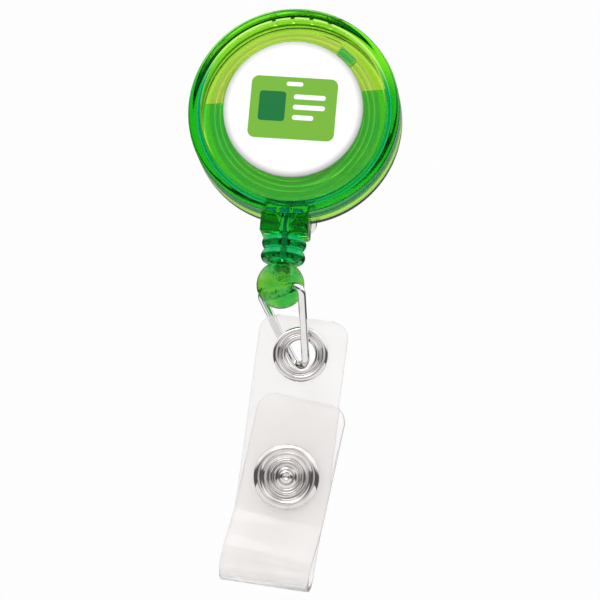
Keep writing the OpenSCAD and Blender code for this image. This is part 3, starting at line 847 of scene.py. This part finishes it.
# %% The printed label
def printed_label():
    material, tree, out = finish_of("printed_label")
    where, x, y, z = places(tree)

    def block(cx, cz, half_w, half_h, corner):
        """1 inside a rounded rectangle, 0 outside: the distance to its core, less the corner."""
        dx = (abs(x - cx) - (half_w - corner)).most(0.0)
        dz = (abs(z - cz) - (half_h - corner)).most(0.0)
        return 1 - ((dx * dx + dz * dz).math("SQRT") - corner).ramp(-0.03, 0.03)

    paper = (0.93, 0.93, 0.93)
    grain = noise(tree, where, 900.0, 5.0)
    colour = blended(tree, grain.ramp(0.4, 0.6), paper, (0.9, 0.905, 0.9))
    light_ink, dark_ink = (0.17, 0.44, 0.035), (0.0, 0.17, 0.035)
    colour = blended(tree, block(0, 0, 6.5, 4.8, 1.1), colour, light_ink)
    colour = blended(tree, block(-3.15, 0.2, 2.0, 2.3, 0.5), colour, dark_ink)
    for number, length in enumerate((2.4, 2.4, 1.6)):
        line = block(2.4 - (2.4 - length), 1.8 - 1.6 * number, length, 0.37, 0.35)
        colour = blended(tree, line, colour, paper)
    colour = blended(tree, block(0, 3.75, 1.25, 0.32, 0.3), colour, paper)
    # The grey ring towards the label's edge is painted shade, where the raised band and the domed
    # edge shade the white film; it is not printed.
    radius = (x * x + z * z).math("SQRT")
    colour = blended(tree, radius.ramp(9.3, 10.55) * 0.75, colour, (0.42, 0.42, 0.42))
    shader(tree, out, {"Base Color": colour, "Roughness": 0.3 + grain * 0.1,
                       "Specular IOR Level": 0.25, "Normal": bump(tree, grain, 0.01)})
    return material


dress(printed_label(), face_label)


# %% [markdown]
# The cord is a braid. Two sets of strands cross on it, and where they cross one lies over the
# other. The pattern follows the piece's own UV map, so it goes round the turns with the cord.

# %% Braided cord
def braid(name, along_count, around_count, light=(0.86, 0.87, 0.82), glow=0.0):
    """glow stands for the light that the casing's clear walls pass on to the cord in it."""
    material, tree, out = finish_of(name)
    uv = node(tree, "ShaderNodeUVMap", {"uv_map": "along_and_around"})
    split = node(tree, "ShaderNodeSeparateXYZ", {}, {0: uv})
    outs = split.socket.node.outputs
    u, v = [Wire(tree, outs[k]) for k in range(2)]
    left = ((u * along_count + v * around_count) * (2 * math.pi)).math("SINE")
    right = ((u * along_count - v * around_count) * (2 * math.pi)).math("SINE")
    strands = abs(left * right)
    where = node(tree, "ShaderNodeTexCoord", output=3)
    fuzz = noise(tree, where, 6000.0, 4.0)
    colour = blended(tree, strands.ramp(0.0, 0.35), (0.55, 0.56, 0.5), light)
    shader(tree, out, {"Base Color": colour, "Roughness": 0.6 + fuzz * 0.2, "Sheen Weight": 0.2,
                       "Emission Color": colour, "Emission Strength": glow,
                       "Normal": bump(tree, strands + fuzz * 0.4, 0.06)})
    return material


# The wound cord is the same white cord as its run: its yellow-green strands and its glow are
# painted light, standing for the light that reaches it through the casing's green walls.
dress(braid("braided_cord_wound", 900.0, 4.0, (0.9, 0.92, 0.5), 0.45), cord_turns)
dress(braid("braided_cord_run", 14.0, 4.0), cord_run)
dress(braid("braided_cord_knot", 14.0, 4.0), cord_knot_tied)


# %% [markdown]
# Plated metal is a mirror that isn't quite perfect: a faint cloud in its roughness, hairline
# scratches, and a slight waviness from the die. The spring's strip is darker, and is drawn out
# along its length.

# %% Bright nickel, chrome and spring steel
def metal(name, bright, dull, rough, waves=0.004):
    material, tree, out = finish_of(name)
    where, x, y, z = places(tree)
    cloud = noise(tree, where, 500.0, 4.0)
    streaks = node(tree, "ShaderNodeMapping", {}, {"Vector": where, "Scale": (1.0, 1.0, 0.06)})
    hair = noise(tree, streaks, 9000.0, 2.0)
    shader(tree, out, {
        "Base Color": blended(tree, cloud.ramp(0.35, 0.75), bright, dull), "Metallic": 1.0,
        "Roughness": rough + cloud * 0.05 + hair.ramp(0.62, 0.8) * 0.1,
        "Normal": bump(tree, cloud, waves)})
    return material


nickel_finish = metal("bright_nickel", (0.82, 0.79, 0.78), (0.7, 0.67, 0.66), 0.05)
chrome_finish = metal("bright_chrome", (0.88, 0.87, 0.865), (0.8, 0.79, 0.785), 0.03)
spring_finish = metal("spring_steel", (0.42, 0.44, 0.48), (0.3, 0.31, 0.34), 0.22, 0.01)
dress(nickel_finish, eyelet_ring, eyelet_back, snap_front, snap_cup, snap_stud_head, snap_back)
dress(chrome_finish, link_wire, clip_base, clip_spring_arm, rivet)
dress(spring_finish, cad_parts["mainspring"])
print("metals made")


# %% [markdown]
# Frosted vinyl lets light through but blurs it. Its body is pale and a little warm, and its face
# has a fine, soft grain with shallow ripples from being bent.

# %% Frosted vinyl
def frosted_vinyl():
    material, tree, out = finish_of("frosted_vinyl")
    where, x, y, z = places(tree)
    ripple = noise(tree, where, 220.0, 2.0)
    grain = noise(tree, where, 3800.0, 5.0)
    colour = blended(tree, ripple.ramp(0.35, 0.7), (0.99, 0.972, 0.965), (0.965, 0.947, 0.94))
    shader(tree, out, {"Base Color": colour, "Transmission Weight": 0.85, "IOR": 1.45,
                       "Roughness": 0.1 + grain * 0.08,
                       "Normal": bump(tree, ripple + grain * 0.12, 0.05)})
    return material


dress(frosted_vinyl(), strap_strip)
print("vinyl made")

# %% [markdown]
# The studio is a bright room with a dark card at each side, a dark shelf low down, and grey
# behind the object and about the lens. Only mirror reflections see these, and they are what
# gives chrome its dark lines. Light that passes through plastic sees the plain bright room, and
# the camera sees a plain pale backdrop. The floor lies below the object's end even when its whole
# cord is drawn out.

# %% Studio
world = bpy.data.worlds.new("studio")
bpy.context.scene.world = world
world.use_nodes = True
tree = world.node_tree
tree.nodes.clear()
direction = node(tree, "ShaderNodeTexCoord", output=0)
split = node(tree, "ShaderNodeSeparateXYZ", {}, {0: direction})
dx, dy, dz = [Wire(tree, split.socket.node.outputs[k]) for k in range(3)]
cards = abs(dx).ramp(0.2, 0.42) * (1 - dz.ramp(0.1, 0.4))
lens_side = (1 - abs(dx).ramp(0.1, 0.35)) * (1 - dy.ramp(-0.93, -0.7))
lens_side = lens_side * abs(dz - 0.05).ramp(0.04, 0.2)
behind = dy.ramp(0.3, 0.8)
shelf = 1 - abs(dz + 0.55).ramp(0.04, 0.1)
mirrored = (1.0 + dz * 0.35) * (1 - cards * 0.9) * (1 - lens_side * 0.6)
mirrored = mirrored * (1 - behind * 0.75) * (1 - shelf * 0.7)
seen = node(tree, "ShaderNodeLightPath")
glossy = Wire(tree, seen.socket.node.outputs["Is Glossy Ray"])
through = Wire(tree, seen.socket.node.outputs["Is Transmission Ray"])
mirror = glossy * (1 - through)
room = mirror * mirrored + (1 - mirror) * (1.0 + dz * 0.1)
light = node(tree, "ShaderNodeBackground", {}, {"Color": (1, 1, 1, 1), "Strength": room})
backdrop = node(tree, "ShaderNodeBackground", {}, {"Color": (0.985, 0.985, 0.985, 1),
                                                   "Strength": 1.0})
both = node(tree, "ShaderNodeMixShader", {}, {0: seen, 1: light, 2: backdrop})
world_out = tree.nodes.new("ShaderNodeOutputWorld")
tree.links.new(both.socket, world_out.inputs["Surface"])

lamp = bpy.data.lights.new("soft_key", "AREA")
lamp.shape = "DISK"
lamp.size = 0.35
lamp.energy = 0.7
lamp_object = bpy.data.objects.new("soft_key", lamp)
lamp_object.location = (-0.15, -0.4, 0.35)
lamp_object.rotation_euler = Vector((0.15, 0.4, -0.37)).to_track_quat("-Z", "Y").to_euler()
bpy.context.scene.collection.objects.link(lamp_object)

FLOOR_Z = -1050.0
FLOOR_EDGES = (-3000.0, 3000.0)
floor = surface("floor", np.array([[(x, y, FLOOR_Z) for x in FLOOR_EDGES] for y in FLOOR_EDGES]))
floor_paint, tree, out = finish_of("pale_floor")
where, x, y, z = places(tree)
shader(tree, out, {"Base Color": blended(tree, noise(tree, where, 12.0), (0.86, 0.86, 0.86),
                                         (0.84, 0.84, 0.84)), "Roughness": 0.8})
dress(floor_paint, floor)
bpy.context.scene.view_settings.view_transform = "Standard"
print("studio made")

# %% [markdown]
# The camera looks from the front, a little from the right and from below, with a long lens, and
# it is rolled by a few degrees so that the reel hangs slightly askew in the frame.

# %% Camera
AZIMUTH = math.radians(6)
ELEVATION = math.radians(-12)
ROLL = math.radians(5.1)
DISTANCE = 0.5
VIEW_WIDTH = 0.0893
target = Vector((3.11, -4.5, -28.05)) * MM
camera = bpy.data.cameras.new("camera")
camera.sensor_width = 36
camera.lens = camera.sensor_width * DISTANCE / VIEW_WIDTH
camera.clip_start = 0.01
camera_object = bpy.data.objects.new("camera", camera)
away = Vector((math.sin(AZIMUTH) * math.cos(ELEVATION), -math.cos(AZIMUTH) * math.cos(ELEVATION),
               math.sin(ELEVATION)))
camera_object.location = target + away * DISTANCE
facing = (-away).to_track_quat("-Z", "Y")
camera_object.rotation_euler = (facing.to_matrix() @ Matrix.Rotation(ROLL, 3, "Z")).to_euler()
bpy.context.scene.collection.objects.link(camera_object)
bpy.context.scene.camera = camera_object
